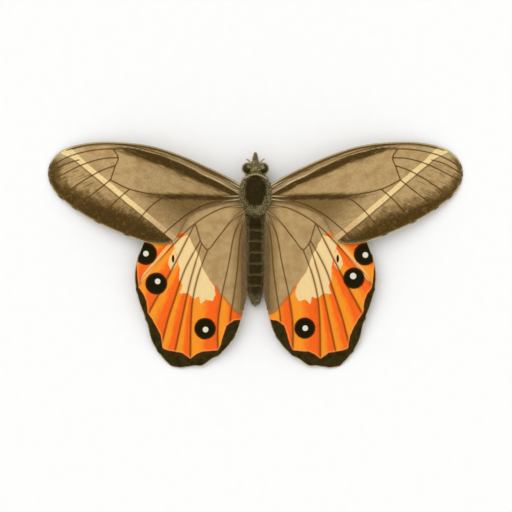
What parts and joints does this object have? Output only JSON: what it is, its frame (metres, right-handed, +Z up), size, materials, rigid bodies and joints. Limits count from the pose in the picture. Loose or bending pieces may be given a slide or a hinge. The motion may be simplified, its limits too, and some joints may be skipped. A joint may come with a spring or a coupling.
{
  "type": "spread butterfly specimen",
  "caption": "Dried butterfly with spread wings: long tan forewings with a cream band over orange hindwings with eyespots and a dark scalloped border, lying belly down.",
  "frame": {"origin": "centre of the whole specimen's box, at the surface that it lies on", "axes": "+X from the left wing tip to the right wing tip, +Y towards the head, +Z up out of the back"},
  "size_m": [0.0902, 0.0492, 0.0069],
  "materials": {
    "forewing": "matte, scaled",
    "hindwing": "matte, scaled",
    "body_fur": "furred",
    "limb": "satin, dry",
    "eye": "glossy"
  },
  "bodies": {
    "root": {"head": "body_fur", "thorax": "body_fur", "abdomen": "body_fur", "left_eye": "eye", "right_eye": "eye", "left_palp": "body_fur", "right_palp": "body_fur", "left_antenna": "limb", "right_antenna": "limb", "proboscis": "limb", "left_forewing": "forewing", "right_forewing": "forewing", "left_hindwing": "hindwing", "right_hindwing": "hindwing", "left_foreleg": "limb", "right_foreleg": "limb", "left_midleg": "limb", "right_midleg": "limb", "left_hindleg": "limb", "right_hindleg": "limb"}
  },
  "joints": []
}
